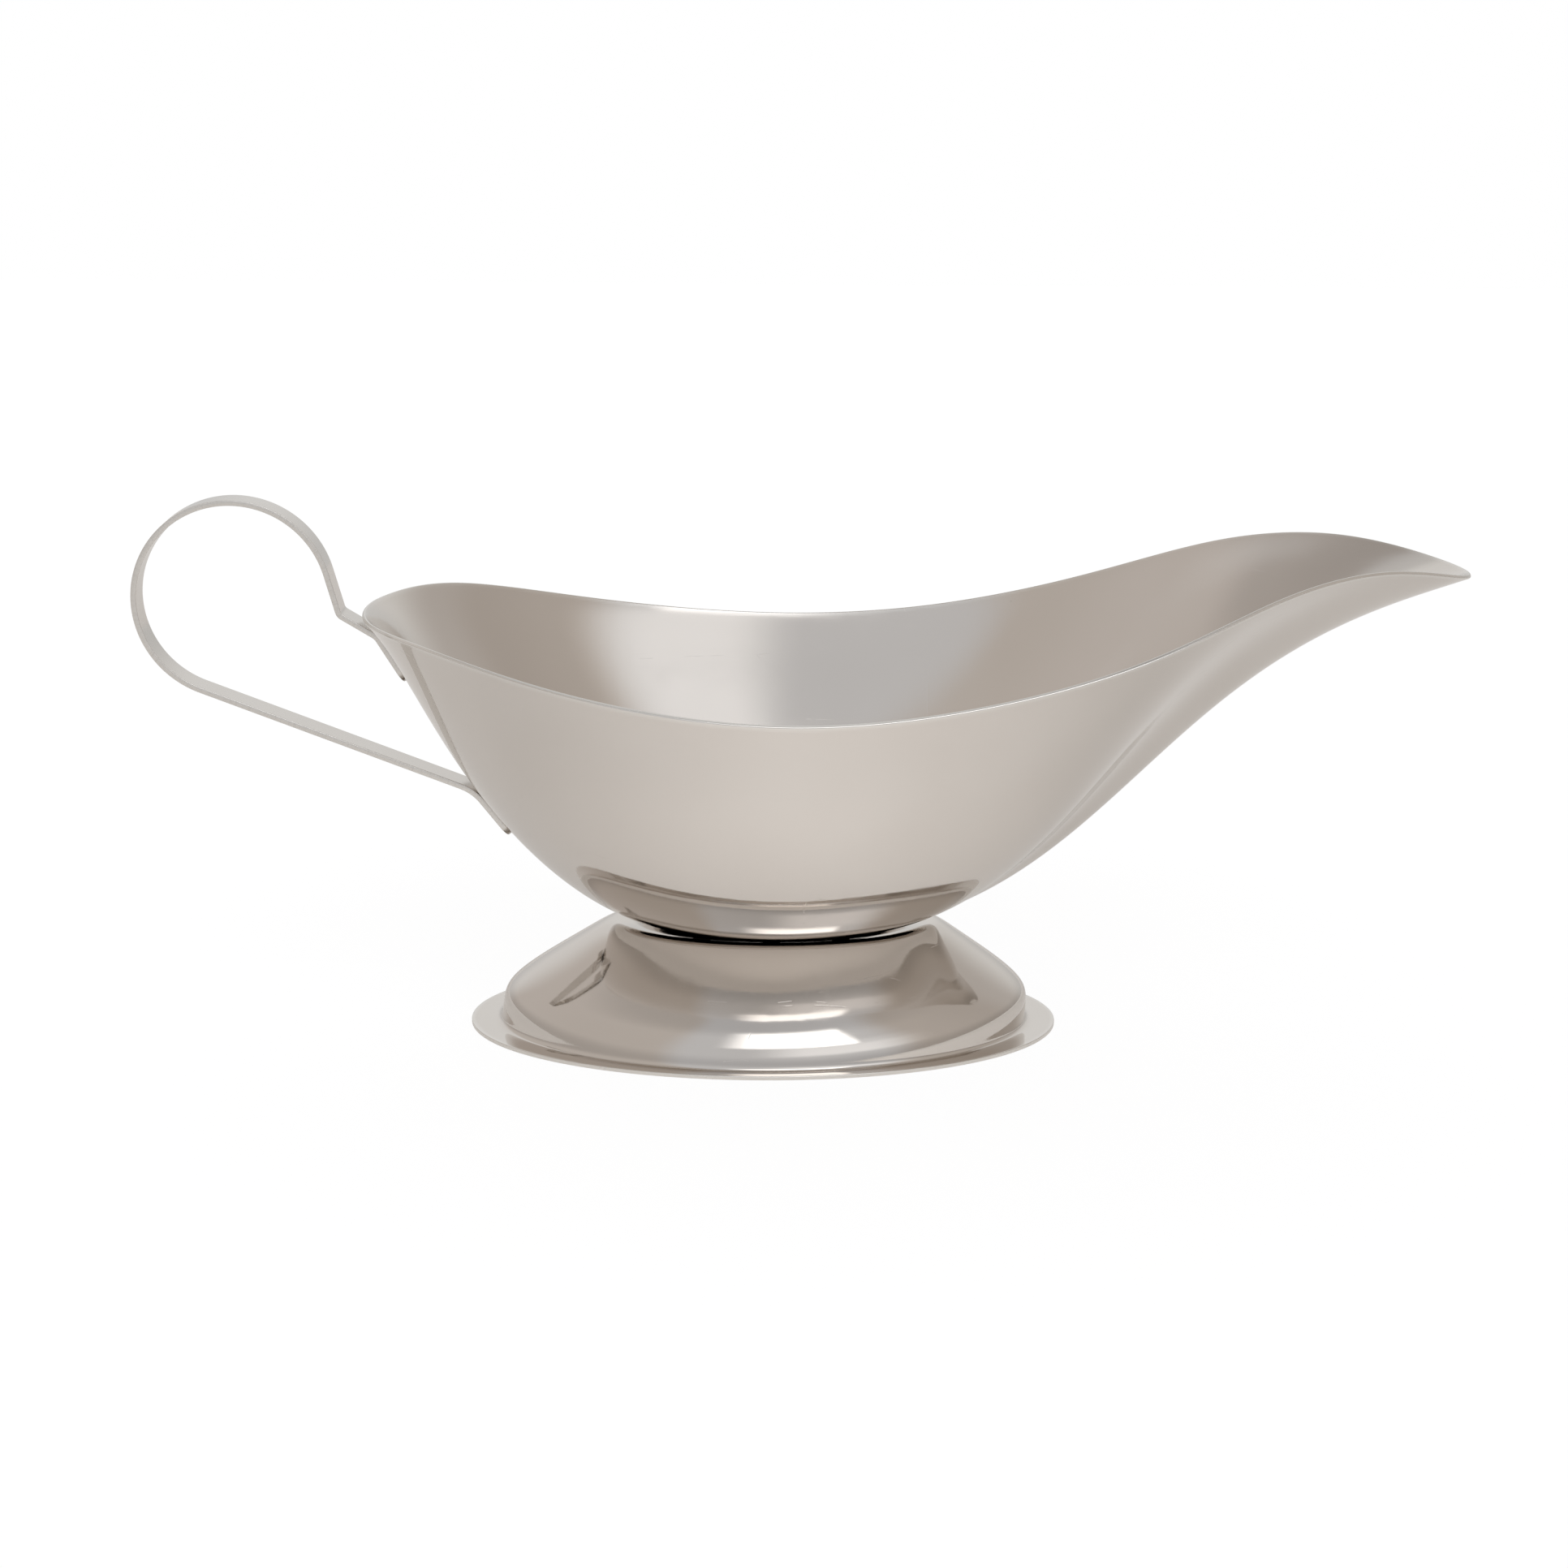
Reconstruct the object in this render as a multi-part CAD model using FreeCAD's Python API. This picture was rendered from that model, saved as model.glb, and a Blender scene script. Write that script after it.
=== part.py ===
"""Stainless steel gravy boat: a pressed bowl with a pouring spout, spot-welded to a
pressed oval pedestal foot, with a bent flat strap for a handle.  Millimetres.

+X runs towards the spout, +Z up, and the boat is symmetric about the XZ plane.
The origin is on the table, under the middle of the boat's overall length."""

import FreeCAD, Part
import math
import os

from FreeCAD import Vector

# ---------------------------------------------------------------- driving dimensions
SHEET = 0.7             # gauge of the bowl's and the foot's sheet
STRAP_GAUGE = 0.9       # gauge of the handle strap
STRAP_WIDTH = 6.0
SHIFT_X = -6.1          # moves the drawing, centred on the foot, to the boat's middle
WELD_GAP = 0.12         # what a spot weld leaves between two sheets

# Bowl rim, from the spout's lip round to the handle: poles of a closed cubic B-spline
RIM_POLES = [
    (116.0, 0.0, 76.2), (112.2, 10.0, 77.2), (98.0, 18.0, 80.6), (79.5, 28.5, 78.2),
    (58.5, 39.5, 69.0), (29.5, 43.0, 62.0), (0.0, 47.0, 60.0), (-31.5, 41.5, 64.0),
    (-55.0, 29.5, 70.0), (-64.5, 13.0, 69.5), (-66.0, 0.0, 70.0),
]
# Bowl floor: the small flat that sits in the foot
FLOOR_X, FLOOR_Z = 1.2, 16.9
FLOOR_HALF_LENGTH, FLOOR_HALF_WIDTH = 14.8, 7.0
# Bowl wall: Bezier poles (share of the way out, share of the way up) from floor to rim
WALL_SPOUT = [(0, 0), (0.10, 0), (0.49, 0.12), (0.44, 0.76), (0.81, 0.89), (1, 1)]
WALL_SIDE = [(0, 0), (0.24, 0), (0.66, 0.16), (0.89, 0.36), (0.88, 0.75), (1, 1)]
WALL_BACK = [(0, 0), (0.18, 0), (0.45, 0.10), (0.77, 0.49), (0.83, 0.83), (1, 1)]
SIDE_LENGTH, SIDE_WIDTH = 90.0, 45.0    # the oval that deals the wall out by direction

# Foot: (half length, half width, height) of the rings, from the dished top to the
# lip, down the slope to the shoulder, and out to the flange
FOOT_RINGS = [
    (14.5, 6.0, 16.78), (17.0, 8.0, 16.78), (20.5, 10.4, 16.85), (23.8, 12.6, 17.3),
    (26.4, 14.5, 17.8), (28.4, 15.9, 17.2), (31.0, 17.4, 15.5), (34.6, 19.6, 13.1),
    (38.5, 22.1, 10.5), (41.9, 24.5, 7.9), (43.6, 26.2, 6.0), (43.9, 27.5, 4.0),
    (43.9, 28.1, 1.9), (44.1, 28.2, 0.75), (45.2, 28.7, 0.7), (46.4, 29.3, 0.7),
]
FLANGE_HALF_LENGTH, FLANGE_HALF_WIDTH = 49.0, 30.7
FOOT_TOP_X = 1.5        # the foot leans this far towards the spout at its top

# Handle strap, seen from the side: its loop, and the tabs that lie on the bowl's back
LOOP_CENTRE = (-86.3, 71.8)
LOOP_RADIUS = 15.85
NECK_CORNER = (-69.15, 69.43)           # where the loop turns in under the rim
NECK_BEND = 1.4
TOP_CONTACT, TOP_LEAN = 60.2, 3.0       # height of the weld, and degrees off the wall
TOP_BELOW, TOP_ABOVE, TOP_BEND = 1.8, 7.0, 2.5
LOW_CONTACT, LOW_LEAN = 36.5, 0.0
LOW_BELOW, LOW_ABOVE, LOW_BEND = 4.5, 5.2, 8.0
TAB_CORNER = 2.2        # rounding of the two ends of the strap

# Spot welds
WELD_RADIUS = 1.5
FOOT_WELDS = [-10.3, 1.2, 12.7]         # along the floor

# Sheets as B-splines: poles once round the boat, and from the middle out
BOWL_POLES = (72, 20)
FOOT_POLES = (64, 48)
EASING_PASSES = 8       # rounds of easing a sheet's poles on to its points
NUDGE = 1e-4            # small step in a parameter, for tangents and normals
HALVINGS = 40           # of the search for a height on the bowl's back
CLOSE = 0.01            # what counts as the same place or length


# ---------------------------------------------------------------- small geometry helpers
def closed_cubic(poles, at):
    """Point at parameter `at` (0 to 1) of the closed uniform cubic B-spline."""
    count = len(poles)
    place = (at % 1.0) * count
    first = int(math.floor(place))
    u = place - first
    weights = ((1 - u) ** 3 / 6, (3 * u ** 3 - 6 * u ** 2 + 4) / 6,
               (-3 * u ** 3 + 3 * u ** 2 + 3 * u + 1) / 6, u ** 3 / 6)
    total = Vector(0, 0, 0)
    for step, weight in enumerate(weights):
        total += Vector(*poles[(first + step - 1) % count]) * weight
    return total


def open_cubic(poles, at):
    """Point at parameter `at` (0 to 1) of a cubic B-spline that starts and ends on
    its first and last pole."""
    spans = len(poles) - 3
    knots = [0.0] * 3 + [float(k) for k in range(spans + 1)] + [float(spans)] * 3
    place = min(max(at, 0.0), 1.0) * spans
    span = min(int(place), spans - 1) + 3
    local = [Vector(*poles[span - 3 + k]) for k in range(4)]
    for level in range(1, 4):
        for k in range(3, level - 1, -1):
            low = knots[span - 3 + k]
            high = knots[span + 1 + k - level]
            share = (place - low) / (high - low)
            local[k] = local[k - 1] * (1 - share) + local[k] * share
    return local[3]


def bezier(poles, at):
    """Point at `at` (0 to 1) of the Bezier curve with these two-number poles."""
    order = len(poles) - 1
    across = up = 0.0
    for k, (pole_across, pole_up) in enumerate(poles):
        weight = math.comb(order, k) * at ** k * (1 - at) ** (order - k)
        across += weight * pole_across
        up += weight * pole_up
    return across, up


def normal_at(surface, around, out):
    """Unit normal of a surface function, by small differences."""
    side = surface(around + NUDGE, out) - surface(around - NUDGE, out)
    low, high = max(out - NUDGE, 0.0), min(out + NUDGE, 1.0)
    rise = surface(around, high) - surface(around, low)
    return side.cross(rise).normalize()


def spline_sheet(surface, offset, pole_counts):
    """Face through the surface function moved along its normal: a cubic B-spline,
    closed round the boat, whose poles are eased until it passes through the points."""
    columns, rows = pole_counts
    spans = rows - 3
    knots = [0.0] * 3 + [float(k) for k in range(spans + 1)] + [float(spans)] * 3
    stations = [sum(knots[j + 1:j + 4]) / 3 for j in range(rows)]
    aims = []
    for i in range(columns):
        around = (i - 1) / columns
        line = []
        for station in stations:
            out = station / spans
            line.append(surface(around, out) + normal_at(surface, around, out) * offset)
        aims.append(line)
    poles = [list(line) for line in aims]
    round_knots = [float(k) for k in range(columns + 1)]
    out_knots = [float(k) for k in range(spans + 1)]
    out_mults = [4] + [1] * (spans - 1) + [4]
    for easing in range(EASING_PASSES):
        sheet = Part.BSplineSurface()
        sheet.buildFromPolesMultsKnots(poles, [1] * (columns + 1), out_mults, round_knots,
                                       out_knots, True, False, 3, 3)
        for i in range(columns):
            for j, station in enumerate(stations):
                poles[i][j] = poles[i][j] + aims[i][j] - sheet.value((i - 1) % columns, station)
    return sheet.toShape()


def closed_edge(face, at_edge):
    """The sheet's closed edge at its floor (False) or at its free edge (True)."""
    loops = [edge for edge in face.Edges if edge.isClosed()]
    loops.sort(key=lambda edge: edge.Length)
    return loops[-1] if at_edge else loops[0]


def flat_flange(sheet, half_length, half_width):
    """The flat that carries a sheet on from its free edge to an oval outline."""
    inside = closed_edge(sheet, True)
    height = inside.BoundBox.ZMax
    outline = Part.Ellipse(Vector(0, 0, height), half_length, half_width).toShape()
    return Part.makeFace([Part.Wire([outline]), Part.Wire([inside])], "Part::FaceMakerBullseye")


def pressed_shell(surface, offset, pole_counts, flange=None):
    """Solid of even thickness: a sheet and its offset, each closed by a flat floor
    and carried on by a flat flange if it has one, joined by a strip round the edge."""
    first = spline_sheet(surface, 0.0, pole_counts)
    second = spline_sheet(surface, offset, pole_counts)
    faces = [first, second]
    for sheet in (first, second):
        faces.append(Part.Face(Part.Wire([closed_edge(sheet, False)])))
    rims = [first, second]
    if flange:
        rims = [flat_flange(sheet, *flange) for sheet in (first, second)]
        faces += rims
    faces.append(Part.makeRuledSurface(closed_edge(rims[0], True), closed_edge(rims[1], True)))
    shell = Part.Shell(faces)
    shell.sewShape()
    solid = Part.Solid(shell)
    if solid.Volume < 0:
        solid.reverse()
    return solid


# ---------------------------------------------------------------- bowl
def full_rim():
    """All the rim's poles: the drawn half, then its mirror image."""
    mirrored = [(x, -y, z) for x, y, z in RIM_POLES[-2:0:-1]]
    return RIM_POLES + mirrored


def bowl_surface(around, out):
    """Outer face of the bowl: `around` from the spout (0) once round, `out` from the
    floor (0) to the rim (1)."""
    rim = closed_cubic(full_rim(), around)
    turn = math.atan2(rim.y / SIDE_WIDTH, (rim.x - FLOOR_X) / SIDE_LENGTH)
    ahead = math.cos(turn)
    aside = math.sin(turn) ** 2
    spout_share = 1 - aside if ahead > 0 else 0.0
    back_share = 1 - aside ** 2 if ahead < 0 else 0.0
    across = up = 0.0
    shares = ((WALL_SPOUT, spout_share), (WALL_BACK, back_share),
              (WALL_SIDE, 1 - spout_share - back_share))
    for poles, share in shares:
        wall_across, wall_up = bezier(poles, out)
        across += share * wall_across
        up += share * wall_up
    floor = Vector(FLOOR_X + FLOOR_HALF_LENGTH * ahead, FLOOR_HALF_WIDTH * math.sin(turn), FLOOR_Z)
    return Vector(floor.x + (rim.x - floor.x) * across,
                  floor.y + (rim.y - floor.y) * across,
                  floor.z + (rim.z - floor.z) * up)


def make_bowl():
    """The bowl, pressed from one sheet; the drawn face is the outside."""
    return pressed_shell(bowl_surface, -SHEET, BOWL_POLES)


# ---------------------------------------------------------------- foot
def foot_surface(around, out):
    """Top face of the foot, from its dished middle (0) to the start of its flange (1)."""
    ring = open_cubic(FOOT_RINGS, out)
    turn = 2 * math.pi * around
    lean = FOOT_TOP_X * (ring.z - SHEET) / (FOOT_RINGS[0][2] - SHEET)
    return Vector(lean + ring.x * math.cos(turn), ring.y * math.sin(turn), ring.z)


def make_foot():
    """The hollow oval pedestal, open underneath, standing on its flat flange."""
    flange = (FLANGE_HALF_LENGTH, FLANGE_HALF_WIDTH)
    return pressed_shell(foot_surface, SHEET, FOOT_POLES, flange)


# ---------------------------------------------------------------- handle
def back_wall(height):
    """Point on the bowl's back at a height, and the direction up the wall there."""
    low, high = 0.0, 1.0
    for halving in range(HALVINGS):
        middle = (low + high) / 2
        if bowl_surface(0.5, middle).z < height:
            low = middle
        else:
            high = middle
    up = bowl_surface(0.5, low + NUDGE) - bowl_surface(0.5, low - NUDGE)
    return bowl_surface(0.5, low), up.normalize()


def tab(contact, lean, below, above):
    """End and upper corner of a tab's centreline that meets the wall at a height."""
    point, up = back_wall(contact)
    turn = math.radians(lean)
    outward = Vector(-up.z, 0, up.x)
    rise = up * math.cos(turn) + outward * math.sin(turn)
    base = point + outward * (STRAP_GAUGE / 2 + WELD_GAP)
    return base - rise * below, base + rise * above


def loop_point(angle):
    """Point of the handle's loop at an angle in radians."""
    return Vector(LOOP_CENTRE[0] + LOOP_RADIUS * math.cos(angle), 0,
                  LOOP_CENTRE[1] + LOOP_RADIUS * math.sin(angle))


def tangent_angle(point, swing_sign):
    """Where on the loop a straight from an outside point runs tangent into it."""
    across, up = point.x - LOOP_CENTRE[0], point.z - LOOP_CENTRE[1]
    swing = math.acos(LOOP_RADIUS / math.hypot(across, up))
    return math.atan2(up, across) + swing_sign * swing


def bend(before, corner, after, radius):
    """Start, middle and end of the arc that rounds a corner."""
    back = (before - corner).normalize()
    ahead = (after - corner).normalize()
    half = back.getAngle(ahead) / 2
    reach = radius / math.tan(half)
    middle = (back + ahead).normalize() * (radius / math.sin(half) - radius)
    return corner + back * reach, corner + middle, corner + ahead * reach


def handle_path():
    """Centreline of the strap, from the end of its upper tab to the end of its lower."""
    top_end, top_corner = tab(TOP_CONTACT, TOP_LEAN, TOP_BELOW, TOP_ABOVE)
    low_end, low_corner = tab(LOW_CONTACT, LOW_LEAN, LOW_BELOW, LOW_ABOVE)
    neck = Vector(NECK_CORNER[0], 0, NECK_CORNER[1])
    start = tangent_angle(neck, 1)
    end = tangent_angle(low_corner, -1) + 2 * math.pi
    loop = [loop_point(start), loop_point((start + end) / 2), loop_point(end)]
    arcs = [bend(top_end, top_corner, neck, TOP_BEND), bend(top_corner, neck, loop[0], NECK_BEND),
            loop, bend(loop[2], low_corner, low_end, LOW_BEND)]
    here = top_end
    edges = []
    for first, middle, last in arcs:
        edges.append(Part.LineSegment(here, first).toShape())
        edges.append(Part.Arc(first, middle, last).toShape())
        here = last
    edges.append(Part.LineSegment(here, low_end).toShape())
    return edges


def beside(edge, distance):
    """The edge moved sideways in the XZ plane: a line or arc concentric with it."""
    points = []
    for share in (0.0, 0.5, 1.0):
        at = edge.FirstParameter + share * (edge.LastParameter - edge.FirstParameter)
        along = edge.tangentAt(at)
        points.append(edge.valueAt(at) + Vector(-along.z, 0, along.x) * distance)
    if isinstance(edge.Curve, Part.Line):
        return Part.LineSegment(points[0], points[2]).toShape()
    return Part.Arc(*points).toShape()


def make_handle():
    """The strap: its centreline thickened to the gauge, as wide as the strip, with
    the corners of its two ends rounded off."""
    path = handle_path()
    inner = [beside(edge, STRAP_GAUGE / 2) for edge in path]
    outer = [beside(edge, -STRAP_GAUGE / 2) for edge in path]
    starts = [edge.firstVertex().Point for edge in (inner[0], outer[0])]
    ends = [edge.lastVertex().Point for edge in (inner[-1], outer[-1])]
    caps = [Part.LineSegment(*starts).toShape(), Part.LineSegment(*ends).toShape()]
    outline = Part.Wire(Part.__sortEdges__(inner + outer + caps))
    face = Part.Face(outline)
    face.translate(Vector(0, -STRAP_WIDTH / 2, 0))
    strap = face.extrude(Vector(0, STRAP_WIDTH, 0))
    corners = []
    for edge in strap.Edges:
        middle = edge.CenterOfMass
        middle.y = 0
        at_tip = min(middle.distanceToPoint((pair[0] + pair[1]) / 2) for pair in (starts, ends))
        if at_tip < CLOSE and abs(edge.Length - STRAP_GAUGE) < CLOSE:
            corners.append(edge)
    return strap.makeFillet(TAB_CORNER, corners)


# ---------------------------------------------------------------- spot welds
def weld(centre, axis, sheets):
    """A weld nugget: a short cylinder cut back to the gap between two sheets."""
    reach = 2 * SHEET
    nugget = Part.makeCylinder(WELD_RADIUS, reach, centre - axis * (reach / 2), axis)
    pieces = nugget.cut(Part.makeCompound(sheets)).Solids
    return min(pieces, key=lambda piece: piece.CenterOfMass.distanceToPoint(centre))


def make_handle_welds(sheets):
    """One spot weld behind each tab of the handle."""
    nuggets = []
    for contact in (TOP_CONTACT, LOW_CONTACT):
        point, up = back_wall(contact)
        outward = Vector(-up.z, 0, up.x)
        nuggets.append(weld(point + outward * (WELD_GAP / 2), outward, sheets))
    return Part.makeCompound(nuggets)


def make_foot_welds(sheets):
    """A row of spot welds between the bowl's floor and the foot's dished top."""
    height = FLOOR_Z - WELD_GAP / 2
    return Part.makeCompound([weld(Vector(x, 0, height), Vector(0, 0, 1), sheets) for x in FOOT_WELDS])


def export(shapes):
    """One STEP file per node."""
    os.makedirs("parts", exist_ok=True)
    for name, shape in shapes.items():
        moved = shape.translated(Vector(SHIFT_X, 0, 0))
        moved.exportStep("parts/%s.step" % name)
        print(name, "valid", moved.isValid(), "solids", len(moved.Solids),
              "volume %.2f" % moved.Volume, "box", moved.BoundBox)


bowl = make_bowl()
foot = make_foot()
handle = make_handle()
export({
    "bowl": bowl,
    "pedestal_foot": foot,
    "strap_handle": handle,
    "handle_spot_welds": make_handle_welds([bowl, handle]),
    "foot_spot_welds": make_foot_welds([bowl, foot]),
})
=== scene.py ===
import math

import bpy
from mathutils import Matrix, Vector


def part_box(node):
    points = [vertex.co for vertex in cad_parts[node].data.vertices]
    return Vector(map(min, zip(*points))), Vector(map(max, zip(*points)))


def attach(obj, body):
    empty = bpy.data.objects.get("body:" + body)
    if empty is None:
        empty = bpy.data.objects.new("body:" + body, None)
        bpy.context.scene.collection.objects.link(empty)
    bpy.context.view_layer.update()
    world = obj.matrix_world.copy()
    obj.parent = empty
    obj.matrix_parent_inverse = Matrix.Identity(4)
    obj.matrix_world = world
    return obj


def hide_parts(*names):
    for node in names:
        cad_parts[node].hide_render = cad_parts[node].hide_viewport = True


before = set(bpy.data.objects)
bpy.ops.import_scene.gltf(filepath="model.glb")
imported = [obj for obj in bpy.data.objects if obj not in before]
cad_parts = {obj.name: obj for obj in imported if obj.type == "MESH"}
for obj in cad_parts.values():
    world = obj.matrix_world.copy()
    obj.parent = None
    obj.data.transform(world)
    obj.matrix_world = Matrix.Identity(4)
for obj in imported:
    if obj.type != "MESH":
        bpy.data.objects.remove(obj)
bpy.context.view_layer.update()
scene = bpy.context.scene
mm = 0.001               # sizes below are drawn in millimetres and built in metres


# ---------------------------------------------------------------- camera
# A catalogue camera on a stand, half a metre in front of the boat and a little above
# its rim, with a short telephoto lens that keeps the long oval from looking stretched.
LENS, SENSOR = 68.94, 36.0
CAMERA_PLACE = Vector((-13.38, -481.6, 162.0)) * mm
PAN, LOOK_DOWN, ROLL = -1.231, 14.115, 0.492       # degrees

lens = bpy.data.cameras.new("catalogue_camera")
lens.lens = LENS
lens.sensor_width = SENSOR
lens.clip_start, lens.clip_end = 10 * mm, 20000 * mm
camera = bpy.data.objects.new("catalogue_camera", lens)
scene.collection.objects.link(camera)
pan = Matrix.Rotation(math.radians(PAN), 4, "Z")
tilt = Matrix.Rotation(math.radians(90 - LOOK_DOWN), 4, "X")
roll = Matrix.Rotation(math.radians(ROLL), 4, "Z")
camera.matrix_world = Matrix.Translation(CAMERA_PLACE) @ pan @ tilt @ roll
scene.camera = camera


# ---------------------------------------------------------------- bowl
# The bowl is one sheet of 18/8 stainless steel, deep-drawn over a punch: a small oval
# floor, a belly, a flared back and a spout drawn out of the rim.  The press leaves the
# sheet the same gauge all over, and the rim is trimmed, then eased on a wheel.
SHEET = 0.7
RIM_POLES = [
    (116.0, 0.0, 76.2), (112.2, 10.0, 77.2), (98.0, 18.0, 80.6), (79.5, 28.5, 78.2),
    (58.5, 39.5, 69.0), (29.5, 43.0, 62.0), (0.0, 47.0, 60.0), (-31.5, 41.5, 64.0),
    (-55.0, 29.5, 70.0), (-64.5, 13.0, 69.5), (-66.0, 0.0, 70.0),
]
FLOOR_CENTRE = (1.2, 0.0, 16.9)
FLOOR_HALF = (14.8, 7.0)
# wall sections, as (share of the way out, share of the way up) from floor to rim
WALL_SPOUT = [(0, 0), (0.10, 0), (0.49, 0.12), (0.44, 0.76), (0.81, 0.89), (1, 1)]
WALL_SIDE = [(0, 0), (0.24, 0), (0.66, 0.16), (0.89, 0.36), (0.88, 0.75), (1, 1)]
WALL_BACK = [(0, 0), (0.18, 0), (0.45, 0.10), (0.77, 0.49), (0.83, 0.83), (1, 1)]
SIDE_LENGTH, SIDE_WIDTH = 90.0, 45.0     # the oval that deals the wall out by direction
RIM_EASE = 0.22                          # radius the polishing wheel leaves on the rim
EASED_ANGLE = math.radians(50)           # a corner that turns more than this is eased
# how finely the bowl is drawn: columns round it, rows over its floor, steps between the
# poles of a wall section and of the rim, and how near two points are to be one
BOWL_COLUMNS, BOWL_FLOOR_ROWS, WALL_STEPS, RIM_STEPS = 336, 8, 14, 32
SAME_POINT = 0.002
CUBIC, SIX_POLES = 4, 6                  # orders of the curves of the rim and of a wall section

# Sizes in mm of what shows in the steel: orange peel, tone patches, wiping smears, hairline
# scratches and their spacing, polishing pits and their spacing, and the depth of both.
# Peel, hairlines and pits are coarser than real ones, which are too fine to show.
PEEL, TONE, SMEAR = 3.4, 27.0, 13.0
HAIRLINE, HAIRLINE_SPACE, PIT, PIT_SPACE, MARK_DEPTH = 0.05, 16.0, 0.16, 11.0, 0.004
HAIRLINE_SQUEEZE = (0.4, 0.9, 1.7)       # scratches run longest along the boat
WORN_BAND, WORN_UNEVEN = 12.0, 0.06      # the band wear is measured over, and its ragged border
# where each mark begins to show in its pattern, and where it is full
SMEAR_SHOWS, SCRATCH_SHOWS, WEAR_SHOWS = (0.52, 0.72), (0.55, 0.62), (0.95, 1.03)
# roughness between buffing marks and what a mark adds, as shares, and what other marks add
LEAST_ROUGH, MARK_ROUGH = 0.75, 0.5
SCRATCH_HAZE, WEAR_HAZE = 0.12, 0.10
WORN_COLOUR, PIT_COLOUR = "E2DFDB", "5E5750"

foot_low, foot_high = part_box("pedestal_foot")
ZERO_BACK = 0.063                        # the drawing's zero is this far behind the foot's middle
drawing_zero = Vector(((foot_low[0] + foot_high[0]) / 2 - ZERO_BACK * mm, 0, 0))


def add(tree, kind, feeds={}, **settings):
    """Adds a node with its settings; feeds maps an input to a value, node or output."""
    made = tree.nodes.new(kind)
    for name, value in settings.items():
        setattr(made, name, value)
    for socket, feed in feeds.items():
        if isinstance(feed, bpy.types.Node):
            feed = next(output for output in feed.outputs if output.enabled)
        if isinstance(feed, bpy.types.NodeSocket):
            tree.links.new(feed, made.inputs[socket])
        else:
            made.inputs[socket].default_value = feed
    return made


def draw_curve(name, splines):
    """A curve object of B-splines, each (poles, order, closed, steps between poles)."""
    curve = bpy.data.curves.new(name, "CURVE")
    curve.dimensions = "3D"
    for poles, order, closed, steps in splines:
        spline = curve.splines.new("NURBS")
        spline.points.add(len(poles) - 1)
        for point, pole in zip(spline.points, poles):
            point.co = (*pole, 1)
        spline.order_u = order
        spline.use_cyclic_u = closed
        spline.use_endpoint_u = not closed
        spline.resolution_u = steps
    drawing = bpy.data.objects.new(name, curve)
    scene.collection.objects.link(drawing)
    return drawing


def new_tree(name, sizes):
    """A geometry tree with a drawing to follow and named sizes, and its group input."""
    tree = bpy.data.node_groups.new(name, "GeometryNodeTree")
    tree.interface.new_socket("Drawing", in_out="INPUT", socket_type="NodeSocketObject")
    for label, kind in sizes.items():
        tree.interface.new_socket(label, in_out="INPUT", socket_type="NodeSocket" + kind)
    tree.interface.new_socket("Material", in_out="INPUT", socket_type="NodeSocketMaterial")
    tree.interface.new_socket("Piece", in_out="OUTPUT", socket_type="NodeSocketGeometry")
    return tree, tree.nodes.new("NodeGroupInput")


def finish_tree(tree, given, shape):
    """Ends a tree: whole geometry, smooth, with the piece's material."""
    whole = add(tree, "GeometryNodeRealizeInstances", {0: shape})
    smooth = add(tree, "GeometryNodeSetShadeSmooth", {0: whole, "Shade Smooth": True})
    painted = add(tree, "GeometryNodeSetMaterial", {0: smooth,
                                                    "Material": given.outputs["Material"]})
    add(tree, "NodeGroupOutput", {0: painted})


def press(name, tree, inputs):
    """Runs a tree with these named inputs and returns its result as a plain object."""
    blank = bpy.data.objects.new(name + "_blank", bpy.data.meshes.new(name + "_blank"))
    scene.collection.objects.link(blank)
    modifier = blank.modifiers.new(tree.name, "NODES")
    modifier.node_group = tree
    for item in tree.interface.items_tree:
        if item.in_out == "INPUT":
            modifier[item.identifier] = inputs[item.name]
    bpy.context.view_layer.update()
    pressed = blank.evaluated_get(bpy.context.evaluated_depsgraph_get())
    mesh = bpy.data.meshes.new_from_object(pressed)
    blank.modifiers.remove(modifier)
    bpy.data.objects.remove(blank)
    bpy.data.objects.remove(inputs["Drawing"])
    mesh.name = name
    if mesh.materials[0] is None:
        mesh.materials.pop(index=0)      # the blank's own empty slot
    piece = bpy.data.objects.new(name, mesh)
    scene.collection.objects.link(piece)
    return piece


def colour(code):
    """Linear colour of an sRGB hex value."""
    channels = [int(code[k:k + 2], 16) / 255 for k in (0, 2, 4)]
    return [c / 12.92 if c <= 0.04045 else ((c + 0.055) / 1.055) ** 2.4 for c in channels] + [1.0]


def press_grid(tree, columns, rows):
    """A flat grid to press a skin from, and the column and row of each of its points."""
    index = add(tree, "GeometryNodeInputIndex")
    around = add(tree, "ShaderNodeMath", {0: columns, 1: 1.0})
    blank = add(tree, "GeometryNodeMeshGrid", {"Vertices X": around, "Vertices Y": rows})
    counted = add(tree, "ShaderNodeMath", {0: index, 1: rows}, operation="DIVIDE")
    column = add(tree, "ShaderNodeMath", {0: counted}, operation="FLOOR")
    row = add(tree, "ShaderNodeMath", {0: index, 1: rows}, operation="MODULO")
    return blank.outputs["Mesh"], column, row


def press_skin(tree, blank, place, inward):
    """The grid moved to its places and closed, marked by how near the edge each point is."""
    drawn = add(tree, "GeometryNodeSetPosition", {0: blank, "Position": place})
    edge = add(tree, "ShaderNodeMapRange", {"Value": inward, "From Min": 0.0,
                                            "From Max": WORN_BAND * mm,
                                            "To Min": 1.0, "To Max": 0.0})
    marked = add(tree, "GeometryNodeStoreNamedAttribute", {0: drawn, "Name": "to_edge",
                                                           "Value": edge},
                 data_type="FLOAT", domain="POINT")
    return add(tree, "GeometryNodeMergeByDistance", {0: marked, "Distance": SAME_POINT * mm})


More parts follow.
